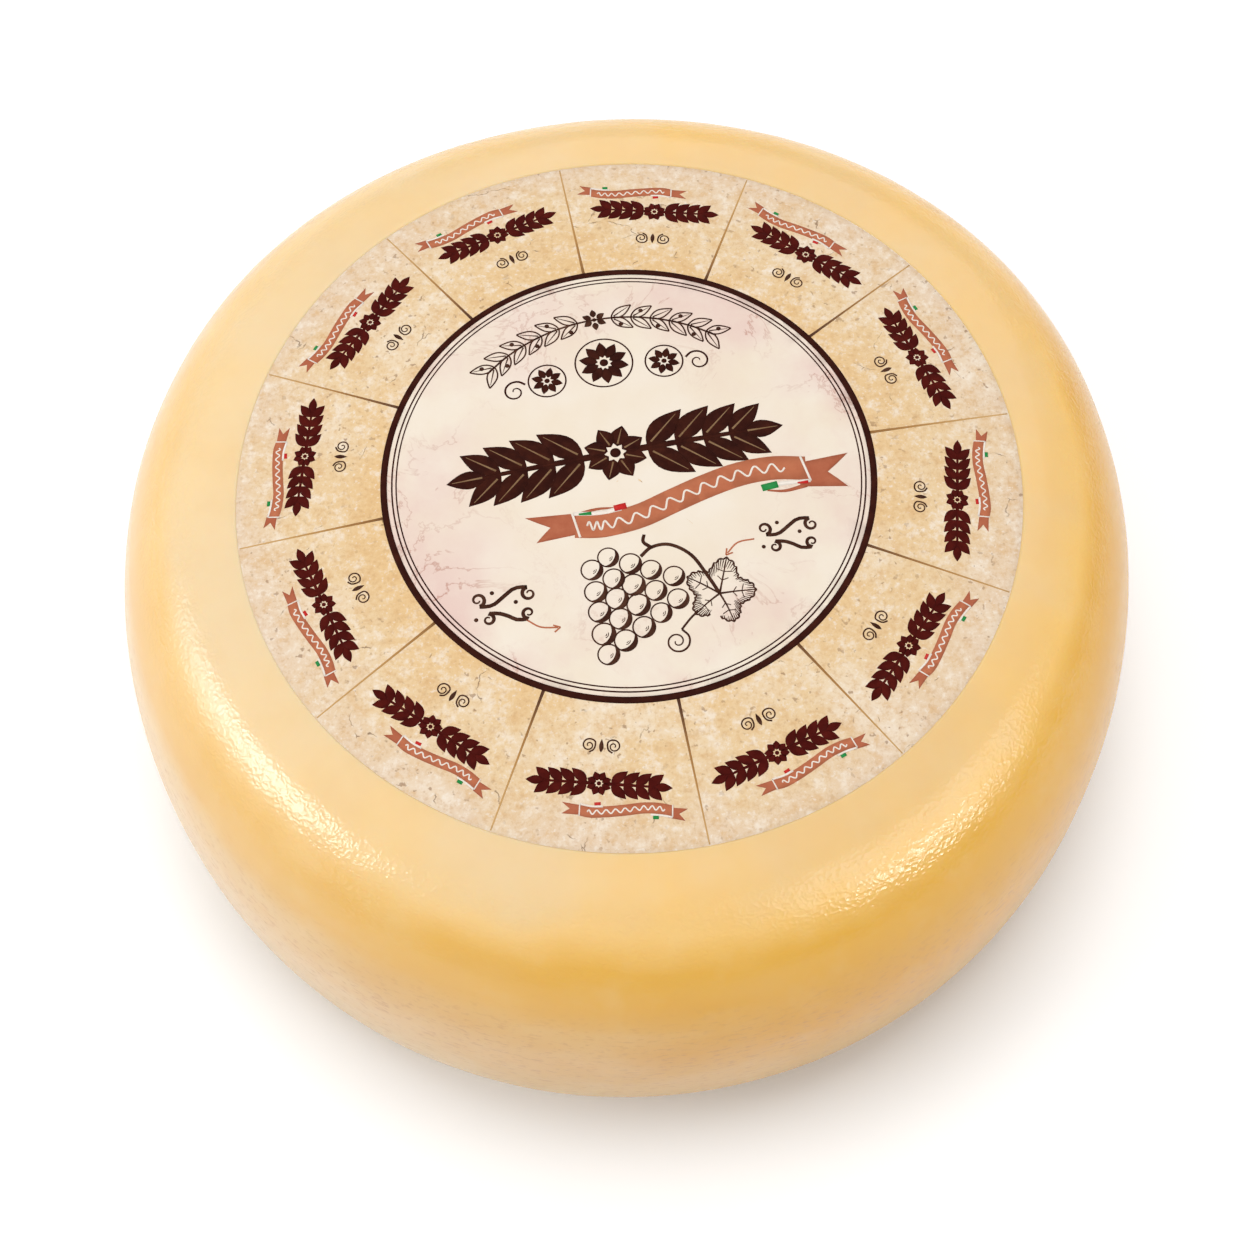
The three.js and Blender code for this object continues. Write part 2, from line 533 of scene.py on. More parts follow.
# %% Mix the parchment
def parchment_finish():
    made, tree, shader = new_finish("printed parchment")
    place = label_place(tree)
    radius = from_middle(tree, place)
    clouds = grain(tree, place, 38.0, 4.0, 0.6)
    outward = maths(tree, "ADD", radius, maths(tree, "MULTIPLY", maths(tree, "SUBTRACT", clouds, 0.5), 0.05))
    base = ramp(tree, between(tree, outward, 0.060, 0.100), [
        (0.0, colour(210, 177, 129)),
        (0.5, colour(211, 185, 146)),
        (1.0, colour(208, 185, 159)),
    ])
    pale = blended(tree, between(tree, clouds, 0.52, 0.68, 0.0, 0.6), base, colour(218, 201, 176))
    patches = grain(tree, place, 230.0, 5.0, 0.72)
    light = blended(tree, between(tree, patches, 0.52, 0.66, 0.0, 0.75), pale, colour(221, 208, 191))
    dark = blended(tree, between(tree, patches, 0.48, 0.34, 0.0, 0.6), light, colour(199, 160, 110))
    fine = grain(tree, place, 800.0, 3.0, 0.65)
    grained = blended(tree, between(tree, fine, 0.47, 0.33, 0.0, 0.36), dark, colour(180, 140, 96))
    grained = blended(tree, between(tree, fine, 0.58, 0.70, 0.0, 0.6), grained, colour(222, 212, 200))
    flecks = maths(tree, "MULTIPLY", between(tree, grain(tree, place, 560.0, 2.0, 0.5), 0.65, 0.70),
                   between(tree, clouds, 0.42, 0.58, 0.3, 1.0))
    flecked = blended(tree, maths(tree, "MULTIPLY", flecks, 0.6), grained, colour(123, 86, 54))

    warp = add(tree, "ShaderNodeTexNoise", None, Vector=place, Scale=90.0, Detail=6.0).outputs["Color"]
    bent = vector_maths(tree, "ADD", place, vector_maths(tree, "MULTIPLY", warp, (0.014, 0.014, 0.014)))
    cells = add(tree, "ShaderNodeTexVoronoi", {"feature": "DISTANCE_TO_EDGE"}, Vector=bent, Scale=80.0)
    near_crack = between(tree, cells.outputs["Distance"], 0.016, 0.004)
    where = between(tree, grain(tree, place, 150.0, 3.0), 0.60, 0.66)
    crack = maths(tree, "MULTIPLY", maths(tree, "MULTIPLY", near_crack, where), 0.75)
    cracked = blended(tree, crack, flecked, colour(98, 67, 40))
    tree.links.new(cracked, shader.inputs["Base Color"])
    set_gloss(shader, 0.62, 0.3)
    tooth = bumped(tree, grain(tree, place, 900.0, 4.0, 0.6), 0.00008, 0.5)
    tree.links.new(bumped(tree, patches, 0.0002, 0.25, tooth), shader.inputs["Normal"])
    return made


# %% Turn the paper
PAPER_THICKNESS = 0.3
PAPER_RINGS = 50
PAPER_BACK_RINGS = 5
PAPER_STEPS = 240
PAPER_EDGE = 0.03


def paper_line(rings, outer, sink):
    return [(outer * ring / rings, dome_height(outer * ring / rings) - sink) for ring in range(rings + 1)]


front = paper_line(PAPER_RINGS, label_radius - PAPER_EDGE, LABEL_SINK)
back = paper_line(PAPER_BACK_RINGS, label_radius, LABEL_SINK + PAPER_THICKNESS)
edge = [(label_radius, dome_height(label_radius) - LABEL_SINK - PAPER_EDGE)]
paper_shape = turned([*front, *edge, *reversed(back)], PAPER_STEPS)
for vert in paper_shape.verts:
    vert.co.z *= wave_at(vert.co.x, vert.co.y)
bmesh.ops.translate(paper_shape, vec=label_middle, verts=paper_shape.verts)
paper = rounded_piece("label_paper", paper_shape, parchment_finish())
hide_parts("round_label")

# %% [markdown]
# ## Drawing with ink
#
# Ink is a film: a flat shape, a few hundredths of a millimetre proud of the paper. Each motif is drawn
# flat, stamped where it repeats, cut by a grid so that it can bend, laid on the dome and thickened. Most
# motifs are one grid pulled into a strip along a path, which keeps the faces clean and easy to bend. A
# motif that lies over another one is drawn with a small rise.

# %% Tools for drawing
LABEL_TURN = 9.32
SECTORS = 12
GRID_STEP = 6
FILM_ROOT = 0.03
WELD = 0.0005


def pulled_grid(shape, along, across, place, rise=0.0):
    """A grid whose points go to place(s, t), with s from 0 to 1 along it and t from 0 to 1 across."""
    made = bmesh.ops.create_grid(shape, x_segments=along, y_segments=across, size=0.5)
    for vert in made["verts"]:
        x, y = place(vert.co.x + 0.5, vert.co.y + 0.5)
        vert.co = (x, y, rise)


def curve_point(path, s):
    """A point a share s along a list of points, on a smooth curve through them."""
    place = s * (len(path) - 1)
    first = max(0, min(int(place), len(path) - 2))
    t = place - first
    p1, p2 = Vector(path[first]), Vector(path[first + 1])
    p0 = Vector(path[first - 1]) if first > 0 else 2 * p1 - p2
    p3 = Vector(path[first + 2]) if first + 2 < len(path) else 2 * p2 - p1
    return 0.5 * (2 * p1 + (p2 - p0) * t + (2 * p0 - 5 * p1 + 4 * p2 - p3) * t * t
                  + (3 * p1 - p0 - 3 * p2 + p3) * t * t * t)


def strip(shape, path, width, along=12, rise=0.0):
    """A stroke along a path of (x, y) points. Width is a number, or a rule that gives it from s."""
    def place(s, t):
        step = curve_point(path, s + 0.01) - curve_point(path, s - 0.01)
        side = Vector((-step.y, step.x)).normalized()
        wide = width(s) if callable(width) else width
        return curve_point(path, s) + side * wide * (t - 0.5)
    pulled_grid(shape, along, 1, place, rise)


def ring(shape, radius, width, x=0.0, y=0.0, steps=240):
    """A round line: a short edge spun about its middle."""
    verts = [shape.verts.new((x + radius + side * width / 2, y, 0)) for side in (-1, 1)]
    edge = shape.edges.new(verts)
    bmesh.ops.spin(shape, geom=[*verts, edge], cent=(x, y, 0), axis=(0, 0, 1), angle=TURN,
                   steps=steps, use_merge=True)


def dot(shape, x, y, radius):
    """A filled round spot."""
    bmesh.ops.create_circle(shape, cap_ends=True, segments=16, radius=radius,
                            matrix=Matrix.Translation((x, y, 0)))


def drawing(draw):
    """Draws a motif once and keeps it as a mesh that can be stamped."""
    shape = bmesh.new()
    draw(shape)
    bmesh.ops.remove_doubles(shape, verts=shape.verts, dist=WELD)
    mesh = bpy.data.meshes.new("motif")
    shape.to_mesh(mesh)
    shape.free()
    return mesh


def stamp(shape, mesh, x=0.0, y=0.0, turn=0.0, size=1.0, flip=False):
    """Adds a copy of a motif to a shape: sized, mirrored, turned by degrees and moved."""
    known = len(shape.verts)
    shape.from_mesh(mesh)
    shape.verts.ensure_lookup_table()
    sized = Matrix.Diagonal((-size if flip else size, size, 1, 1))
    matrix = Matrix.Translation((x, y, 0)) @ Matrix.Rotation(math.radians(turn), 4, "Z") @ sized
    bmesh.ops.transform(shape, matrix=matrix, verts=shape.verts[known:])


def in_all_sectors(draw):
    """Draws a motif for one sector, with the label's middle straight above it, and repeats it round."""
    mesh = drawing(draw)
    shape = bmesh.new()
    for sector in range(SECTORS):
        stamp(shape, mesh, turn=360 * (sector + 0.5) / SECTORS + LABEL_TURN)
    return shape


def upright(draw):
    """Draws a motif in the label's own upright frame."""
    shape = bmesh.new()
    stamp(shape, drawing(draw), turn=LABEL_TURN)
    return shape


def printed(name, shape, finish, lift):
    """Bends a flat drawing over the dome and gives the ink its thickness."""
    reach = math.ceil(label_radius / GRID_STEP) * GRID_STEP
    for axis in (Vector((1, 0, 0)), Vector((0, 1, 0))):
        for cut in range(-reach, reach + 1, GRID_STEP):
            geometry = shape.verts[:] + shape.edges[:] + shape.faces[:]
            bmesh.ops.bisect_plane(shape, geom=geometry, plane_co=axis * cut, plane_no=axis)
    shape.normal_update()
    bmesh.ops.reverse_faces(shape, faces=[face for face in shape.faces if face.normal.z < 0])
    for vert in shape.verts:
        radius = math.hypot(vert.co.x, vert.co.y)
        vert.co.z += (dome_height(radius) - LABEL_SINK) * wave_at(vert.co.x, vert.co.y) + lift
    bmesh.ops.translate(shape, vec=label_middle, verts=shape.verts)
    piece = rounded_piece(name, shape, finish)
    film = piece.modifiers.new("ink film", "SOLIDIFY")
    film.thickness = (lift + FILM_ROOT) * MM
    film.offset = -1
    return piece


# %% [markdown]
# ## Inks
#
# Printed ink takes on the tooth of the paper and is never quite even, so each ink has a little cloud in
# its colour and the paper's own bump.


# %% Mix the inks
def print_tooth(tree, shader, place, strength):
    """The tooth of the paper, felt through the ink."""
    tooth = bumped(tree, grain(tree, place, 900.0, 4.0, 0.6), 0.00006, strength)
    tree.links.new(tooth, shader.inputs["Normal"])


def ink_finish(name, tint, worn):
    """An ink whose colour drifts towards a worn one."""
    made, tree, shader = new_finish(name)
    place = label_place(tree)
    wear = between(tree, grain(tree, place, 260.0, 5.0, 0.65), 0.42, 0.75)
    tree.links.new(blended(tree, wear, tint, worn), shader.inputs["Base Color"])
    print_tooth(tree, shader, place, 0.5)
    set_gloss(shader, 0.7, 0.08)
    return made


dark_ink = ink_finish("dark brown ink", colour(45, 13, 6), colour(63, 25, 13))
line_ink = ink_finish("brown line ink", colour(54, 27, 17), colour(84, 54, 39))
maroon_ink = ink_finish("maroon ink", colour(63, 7, 3), colour(82, 18, 10))
bronze_ink = ink_finish("bronze ink", colour(132, 104, 75), colour(104, 74, 48))
terracotta_ink = ink_finish("terracotta ink", colour(173, 103, 73), colour(164, 92, 64))
shade_ink = ink_finish("shaded terracotta ink", colour(157, 86, 61), colour(168, 99, 72))
cream_ink = ink_finish("cream ink", colour(221, 212, 201), colour(213, 196, 181))
green_ink = ink_finish("green ink", colour(31, 124, 59), colour(52, 133, 75))
red_ink = ink_finish("red ink", colour(182, 38, 35), colour(189, 67, 59))

# %% [markdown]
# ## The medallion
#
# Inside a heavy dark ring lies a disc of pale marble, cream in the middle and stained pink towards the
# edge. The stain is noise that is held back in the middle by the distance from it.

# %% Mix the marble
RING_RADIUS = 62.4
RING_WIDTH = 1.7
LINES = [(60.3, 0.42), (59.2, 0.36)]


def marble_finish():
    made, tree, shader = new_finish("pale marble print")
    place = label_place(tree)
    radius = from_middle(tree, place)
    outward = between(tree, radius, 0.026, 0.060)
    clouds = grain(tree, place, 34.0, 5.0, 0.6)
    stain = maths(tree, "MULTIPLY", between(tree, clouds, 0.40, 0.66), outward)
    base = blended(tree, between(tree, grain(tree, place, 60.0, 4.0), 0.35, 0.7), colour(219, 208, 193),
                   colour(216, 202, 182))
    pink = blended(tree, stain, base, colour(209, 182, 172))
    veins = add(tree, "ShaderNodeTexNoise", None, Vector=place, Scale=48.0, Detail=6.0, Roughness=0.62,
                Distortion=0.6).outputs[0]
    near_vein = between(tree, maths(tree, "ABSOLUTE", maths(tree, "SUBTRACT", veins, 0.5)), 0.014, 0.0)
    veined = blended(tree, maths(tree, "MULTIPLY", maths(tree, "MULTIPLY", near_vein, stain), 0.9), pink,
                     colour(168, 117, 101))
    tree.links.new(veined, shader.inputs["Base Color"])
    set_gloss(shader, 0.55, 0.3)
    print_tooth(tree, shader, place, 0.4)
    return made


# %% Print the medallion and its rings
def medallion(shape):
    spoke = [shape.verts.new((0, 0, 0)), shape.verts.new((RING_RADIUS, 0, 0))]
    edge = shape.edges.new(spoke)
    bmesh.ops.spin(shape, geom=[*spoke, edge], cent=(0, 0, 0), axis=(0, 0, 1), angle=TURN, steps=180,
                   use_merge=True)


def medallion_rings(shape):
    ring(shape, RING_RADIUS, RING_WIDTH)
    for radius, width in LINES:
        ring(shape, radius, width)


printed("marble_medallion", upright(medallion), marble_finish(), 0.01)
printed("medallion_rings", upright(medallion_rings), dark_ink, 0.04)

# %% [markdown]
# ## The dividers
#
# Twelve fine lines part the outer field into sectors. They are dark where they leave the ring and fade to
# a golden brown, so their colour follows the distance from the middle.


# %% Rule the dividers
def divider_finish():
    made, tree, shader = new_finish("divider ink")
    place = label_place(tree)
    radius = from_middle(tree, place)
    wander = maths(tree, "MULTIPLY", maths(tree, "SUBTRACT", grain(tree, place, 24.0, 2.0), 0.5), 0.05)
    share = between(tree, maths(tree, "ADD", radius, wander), 0.060, 0.100)
    tint = ramp(tree, share, [(0.0, colour(74, 40, 18)), (0.25, colour(140, 98, 50)),
                              (0.5, colour(166, 122, 66)), (1.0, colour(190, 150, 94))])
    tree.links.new(tint, shader.inputs["Base Color"])
    set_gloss(shader, 0.55, 0.3)
    print_tooth(tree, shader, place, 0.4)
    return made


def dividers(shape):
    for sector in range(SECTORS):
        spoke = Matrix.Rotation(TURN * sector / SECTORS, 2) @ Vector((1, 0))
        strip(shape, [spoke * (RING_RADIUS + 0.6), spoke * (label_radius - 0.3)],
              lambda s: 0.85 - 0.5 * s ** 0.5, along=16)


printed("dividers", upright(dividers), divider_finish(), 0.015)

# %% [markdown]
# ## Leaves and rosettes
#
# The print is plain garden ornament: laurel, rosettes, ribbons and curls. A leaf is a strip whose width
# swells and closes again, a rosette is a ring of leaves, and a garland is a stem with pairs of leaves that
# lean away from its middle.


# %% Tools for ornament
ROSETTE_OPEN = 0.24


def polar(angle, length):
    """A step of a length along an angle in degrees."""
    return Matrix.Rotation(math.radians(angle), 2) @ Vector((length, 0))


def leaf_swell(s):
    """Share of its full width that a leaf has, from 0 at its foot to 0 at its tip."""
    return math.sin(math.pi * s ** 0.85)


def leaf(shape, x, y, angle, length, width, bend=0.0):
    """A pointed leaf that starts at a place and grows along an angle in degrees."""
    turn = Matrix.Rotation(math.radians(angle), 2)

    def place(s, t):
        half = width / 2 * leaf_swell(s)
        return Vector((x, y)) + turn @ Vector((s * length, (2 * t - 1) * half + bend * s * s))
    pulled_grid(shape, 8, 2, place)


def rib(shape, x, y, angle, length, width):
    """A fine line along a leaf's middle, that stops short of its ends."""
    way = polar(angle, length)
    here = Vector((x, y))
    strip(shape, [here + way * 0.12, here + way * 0.86], lambda s: width * (1 - 0.7 * s), along=4)


def petals_of(x, y, radius, petals):
    """Where each petal of a rosette starts, the angle it grows along and its length."""
    for petal in range(petals):
        angle = 360 * petal / petals + 180 / petals
        spoke = polar(angle, radius * ROSETTE_OPEN)
        yield x + spoke.x, y + spoke.y, angle, radius * (1 - ROSETTE_OPEN)


def rosette(shape, x, y, radius, petals=8, width=0.5):
    """Petals round an open middle."""
    for petal in petals_of(x, y, radius, petals):
        leaf(shape, *petal, radius * width)
    dot(shape, x, y, radius * 0.17)


def curl(x, y, start, end, angle, sweep, steps=14):
    """Points of a spiral about (x, y), from a start radius to an end radius, through a sweep in degrees."""
    points = []
    for step in range(steps + 1):
        share = step / steps
        points.append(Vector((x, y)) + polar(angle + sweep * share, start + (end - start) * share))
    return points


# %% [markdown]
# ## Twelve garlands
#
# Each sector has a bold maroon garland, with a small curled mark above it. The garland is drawn to the
# right of its middle and mirrored, because hand-cut ornament is made that way too.

# %% Print the garlands and the marks
GARLAND_PLACE = (-1.2, -83.6)
MARK_PLACE = (-1.3, -74.2)


def garland_half(shape):
    """The right half: a stem, four pairs of leaves and one at the tip."""
    strip(shape, [(2.2, 0), (14.6, 0)], lambda s: 0.9 - 0.4 * s, along=6, rise=-0.004)
    for pair in range(4):
        for side in (1, -1):
            leaf(shape, 2.9 + 2.95 * pair, 0.1 * side, 44 * side, 5.1 - 0.12 * pair, 2.5, bend=-0.25 * side)
    leaf(shape, 13.2, 0, 0, 4.4, 2.2)


def sector_garland(shape):
    half = drawing(garland_half)
    x, y = GARLAND_PLACE
    stamp(shape, half, x, y)
    stamp(shape, half, x, y, flip=True)
    rosette(shape, x, y, 3.1, width=0.62)


def sector_mark(shape):
    x, y = MARK_PLACE
    for side in (1, -1):
        flat = curl(0, 0, 1.75, 0.25, 150, -560)
        tail = [Vector((-0.2, -1.7)), Vector((-1.3, -0.9))]
        path = [Vector((x + side * (3.0 + point.x), y + point.y)) for point in [*tail, *flat]]
        strip(shape, path, lambda s: 0.42 - 0.16 * s, along=40)
    leaf(shape, x, y - 1.7, 90, 3.4, 1.1)


printed("sector_garlands", in_all_sectors(sector_garland), maroon_ink, 0.04)
printed("sector_marks", in_all_sectors(sector_mark), line_ink, 0.03)

# %% [markdown]
# ## Ribbons
#
# A terracotta ribbon waves under each garland, and a large one crosses the foot of the centre piece. A
# ribbon's body is one strip between two curves. Its forked tails are grids whose outer ends are drawn in at
# the middle. Cream lines close the body, and a cream wave runs along it.


# %% Tools for ribbons
BODY_STEPS = 36


def ribbon_tail(shape, root, tips, notch):
    """A forked tail between the two points of its root and the two points of its tips."""
    def place(s, t):
        outer = Vector(tips[0]).lerp(Vector(tips[1]), t)
        inner = Vector(root[0]).lerp(Vector(root[1]), t)
        fork = (1 - abs(2 * t - 1)) * notch * (1 - s)
        return outer.lerp(inner, s) + (inner - outer).normalized() * fork
    pulled_grid(shape, 6, 4, place)


def wave_line(shape, path, width, swing, waves, first, last):
    """A fine wave that follows a path between two shares of it."""
    def crest(share):
        s = first + (last - first) * share
        step = curve_point(path, s + 0.01) - curve_point(path, s - 0.01)
        side = Vector((-step.y, step.x)).normalized()
        return curve_point(path, s) + side * swing * math.sin(TURN * waves * share)
    count = waves * 6
    strip(shape, [crest(n / count) for n in range(count + 1)], width, along=count * 2)


# %% Print the sector ribbons
SMALL_RIBBON = [(-5.3, -90.4), (-2.6, -90.8), (1.5, -90.4), (5.8, -89.7), (10.0, -88.9), (13.6, -88.8),
                (16.7, -89.2)]
SMALL_WIDTH = 2.7


def small_tails(shape):
    ribbon_tail(shape, [(-4.4, -89.3), (-4.4, -91.6)], [(-9.6, -88.7), (-9.5, -91.5)], 1.9)
    ribbon_tail(shape, [(15.8, -88.4), (15.8, -90.9)], [(20.3, -88.4), (19.9, -91.4)], 1.8)


def small_body(shape):
    strip(shape, SMALL_RIBBON, SMALL_WIDTH, along=BODY_STEPS)


def small_lines(shape):
    wave_line(shape, SMALL_RIBBON, 0.34, 0.5, 9, 0.12, 0.90)
    strip(shape, [(-5.35, -88.9), (-5.3, -91.9)], 0.32, along=2)
    strip(shape, [(16.65, -87.7), (16.8, -90.7)], 0.32, along=2)
    strip(shape, [(-5.3, -88.95), (-2.4, -89.35), (0.2, -89.2)], 0.5, along=6)
    strip(shape, [(11.6, -90.45), (14.4, -90.45), (16.8, -90.75)], 0.5, along=6)


def small_red(shape):
    strip(shape, [(-1.9, -88.75), (-0.4, -88.55)], 0.75, along=2)


def small_green(shape):
    strip(shape, [(12.2, -91.1), (13.6, -91.0)], 0.85, along=2)


for name, draw, ink, lift in (
    ("sector_ribbon_tails", small_tails, shade_ink, 0.05),
    ("sector_ribbons", small_body, terracotta_ink, 0.06),
    ("sector_ribbon_lines", small_lines, cream_ink, 0.07),
    ("sector_red_folds", small_red, red_ink, 0.07),
    ("sector_green_folds", small_green, green_ink, 0.07),
):
    printed(name, in_all_sectors(draw), ink, lift)

# %% [markdown]
# ## The centre garland
#
# Across the middle lies the boldest motif, a garland of broad laurel in chocolate brown. Real print gives
# such shapes a fine bronze light along one side, to look embossed, so each leaf has a bronze rib.

# %% Print the centre garland
CENTRE_PLACE = (-2.2, 5.9)
CENTRE_ROSETTE = 8.2
CENTRE_LEAVES = [(8.2, 43, 14.2, 6.6), (15.6, 43, 13.8, 6.4), (22.8, 42, 13.2, 6.2), (29.6, 40, 12.0, 5.6)]


def centre_half(shape):
    strip(shape, [(5, 0), (36, 0)], lambda s: 2.0 - 1.0 * s, along=12, rise=-0.006)
    for x, angle, length, width in CENTRE_LEAVES:
        for side in (1, -1):
            leaf(shape, x, 0.3 * side, angle * side, length, width, bend=-0.6 * side)
    leaf(shape, 33.2, 0, 0, 10.6, 5.2)


def centre_half_ribs(shape):
    for x, angle, length, width in CENTRE_LEAVES:
        for side in (1, -1):
            rib(shape, x, 0.3 * side, angle * side - 1.3 * side, length, 0.55)
    rib(shape, 33.2, 0, 0, 10.6, 0.55)


def mirrored(half_of, extra=None):
    """Both halves of a centre motif, with what stands in its middle."""
    def draw(shape):
        half = drawing(half_of)
        stamp(shape, half, *CENTRE_PLACE)
        stamp(shape, half, *CENTRE_PLACE, flip=True)
        if extra:
            extra(shape)
    return draw


def centre_rosette(shape):
    rosette(shape, *CENTRE_PLACE, CENTRE_ROSETTE, width=0.6)


def centre_rosette_ribs(shape):
    for petal in petals_of(*CENTRE_PLACE, CENTRE_ROSETTE, 8):
        rib(shape, *petal, 0.5)


printed("centre_garland", upright(mirrored(centre_half, centre_rosette)), dark_ink, 0.04)
printed("centre_garland_ribs", upright(mirrored(centre_half_ribs, centre_rosette_ribs)), bronze_ink, 0.055)

# %% Print the centre ribbon
WIDE_RIBBON = [(-16.0, -12.7), (-12.0, -13.6), (-7.8, -14.0), (0.6, -13.2), (9.6, -10.6), (18.6, -8.1),
               (27.6, -6.3), (36.2, -6.1), (44.4, -7.6)]
WIDE_WIDTH = 6.8


def wide_tails(shape):
    ribbon_tail(shape, [(-14.6, -9.4), (-14.6, -15.2)], [(-28.0, -8.0), (-26.4, -15.5)], 5.0)
    ribbon_tail(shape, [(42.0, -5.8), (42.0, -12.6)], [(56.0, -5.0), (53.9, -14.5)], 5.2)
    strip(shape, [(-15.6, -9.9), (-10.0, -9.2), (-4.6, -9.9)], lambda s: 1.1 - 0.7 * s, along=8)
    strip(shape, [(43.6, -12.4), (38.0, -13.1), (33.4, -12.2)], lambda s: 1.2 - 0.8 * s, along=8)


def wide_body(shape):
    strip(shape, WIDE_RIBBON, WIDE_WIDTH, along=BODY_STEPS)


def wide_lines(shape):
    wave_line(shape, WIDE_RIBBON, 0.5, 1.2, 13, 0.09, 0.92)
    strip(shape, [(-16.2, -9.2), (-15.4, -16.2)], 0.6, along=3)
    strip(shape, [(43.8, -4.0), (44.9, -11.4)], 0.6, along=3)
    strip(shape, [(-15.9, -9.35), (-9.6, -10.4), (-3.8, -10.2)], lambda s: 1.0 + 0.3 * s, along=6)
    strip(shape, [(33.6, -10.7), (39.6, -11.0), (44.8, -11.3)], lambda s: 1.3 - 0.4 * s, along=6)


def wide_red(shape):
    strip(shape, [(-5.6, -9.9), (-2.4, -9.7)], 1.7, along=3, rise=0.004)
    strip(shape, [(41.4, -11.4), (44.2, -11.6)], lambda s: 0.4 + 0.6 * s, along=3, rise=0.004)


def wide_green(shape):
    strip(shape, [(-14.6, -9.75), (-11.4, -10.1)], lambda s: 0.5 + 0.5 * s, along=3, rise=0.004)
    strip(shape, [(32.2, -11.3), (36.4, -10.9)], 1.9, along=3, rise=0.004)


for name, draw, ink, lift in (
    ("centre_ribbon_tails", wide_tails, shade_ink, 0.05),
    ("centre_ribbon", wide_body, terracotta_ink, 0.06),
    ("centre_ribbon_lines", wide_lines, cream_ink, 0.07),
    ("centre_red_folds", wide_red, red_ink, 0.072),
    ("centre_green_folds", wide_green, green_ink, 0.072),
):
    printed(name, upright(draw), ink, lift)

# %% [markdown]
# ## An arch of leaves
#
# Above the garland the print is fine line work. An arch of open leaves and berries follows the ring, with
# three rosettes under it. An open leaf is two thin strokes and a rib, so that the marble shows through.

# %% Print the arch
ARCH_RADIUS = 47.5
ARCH_SPREAD = 40
LINE_WIDTH = 0.42


def open_leaf(shape, x, y, angle, length, width):
    turn = Matrix.Rotation(math.radians(angle), 2)
    for side in (1, -1):
        edge = [Vector((x, y)) + turn @ Vector((length * s, side * width / 2 * leaf_swell(s)))
                for s in (0, 0.12, 0.28, 0.45, 0.62, 0.8, 0.92, 1)]
        strip(shape, edge, LINE_WIDTH, along=14)
    rib(shape, x, y, angle, length, LINE_WIDTH)


def arch_point(degrees, radius=ARCH_RADIUS):
    return polar(90 - degrees, radius)


def arch_of_leaves(shape):
    stem = [arch_point(degrees) for degrees in range(-ARCH_SPREAD, ARCH_SPREAD + 1, 8)]
    strip(shape, stem, LINE_WIDTH * 1.3, along=40, rise=-0.004)
    for side in (1, -1):
        for pair in range(6):
            degrees = side * (5.5 + 6.2 * pair)
            x, y = arch_point(degrees)
            heading = -degrees - 90 + 90 * side + 90
            for lean in (34, -34):
                open_leaf(shape, x, y, heading - 90 + lean, 6.6, 2.7)
            berry_x, berry_y = arch_point(degrees + 3.0 * side, ARCH_RADIUS + (2.2 if pair % 2 else -2.2))
            dot(shape, berry_x, berry_y, 0.62)
    rosette(shape, 0, ARCH_RADIUS, 3.4, petals=6)


def three_rosettes(shape):
    rosette(shape, 0, 33.5, 6.6, petals=10, width=0.44)
    for side in (1, -1):
        rosette(shape, 15.5 * side, 31.0, 4.2, petals=8, width=0.46)
        ring(shape, 4.9, LINE_WIDTH, 15.5 * side, 31.0, steps=40)
        strip(shape, curl(24.2 * side, 29.4, 3.4, 0.5, 90 + 60 * side, -500 * side), lambda s: 0.6 - 0.3 * s,
              along=44)
    ring(shape, 7.5, LINE_WIDTH, 0, 33.5, steps=60)


printed("leaf_arch", upright(arch_of_leaves), line_ink, 0.035)
printed("three_rosettes", upright(three_rosettes), dark_ink, 0.035)

# %% [markdown]
# ## An engraving of grapes
#
# Below the ribbon is a small picture in the manner of an old engraving: a bunch of grapes and a vine leaf.
# Engravers shade with lines, so each grape is a ring with a crescent and short hatching on one side.

# %% Engrave the grapes
GRAPE = 2.85
GRAPE_ROWS = [4, 5, 4, 3, 2, 1]
BUNCH_PLACE = (-2.0, -27.2)
BUNCH_TURN = -30
LEAF_PLACE = (15.6, -38.0)


def grape(shape, x, y):
    ring(shape, GRAPE, 0.4, x, y, steps=28)

    def crescent(s, t):
        angle = math.radians(-125 + 165 * s)
        inner = GRAPE - 1.25 * math.sin(math.pi * s) ** 0.8
        radius = GRAPE + (inner - GRAPE) * t
        return x + radius * math.cos(angle), y + radius * math.sin(angle)
    pulled_grid(shape, 14, 2, crescent, rise=-0.004)
    for inset, spread in ((1.75, 44), (2.2, 30)):
        turns = [math.radians(-42 + spread * n) for n in (-1, -0.5, 0, 0.5, 1)]
        reach = GRAPE - inset
        arc = [(x + reach * math.cos(turn), y + reach * math.sin(turn)) for turn in turns]
        strip(shape, arc, 0.2, along=8)


def bunch(shape):
    """Rows of grapes that narrow to the tip, each a little out of place and out of size."""
    chance = random.Random(7)
    one = drawing(lambda single: grape(single, 0, 0))
    for row, count in enumerate(GRAPE_ROWS):
        for place in range(count):
            x = (place - (count - 1) / 2) * 2 * GRAPE + chance.uniform(-0.3, 0.3)
            y = -row * GRAPE * 1.76 + chance.uniform(-0.3, 0.3)
            stamp(shape, one, x, y, turn=chance.uniform(-12, 12) - BUNCH_TURN, size=chance.uniform(0.9, 1.02))


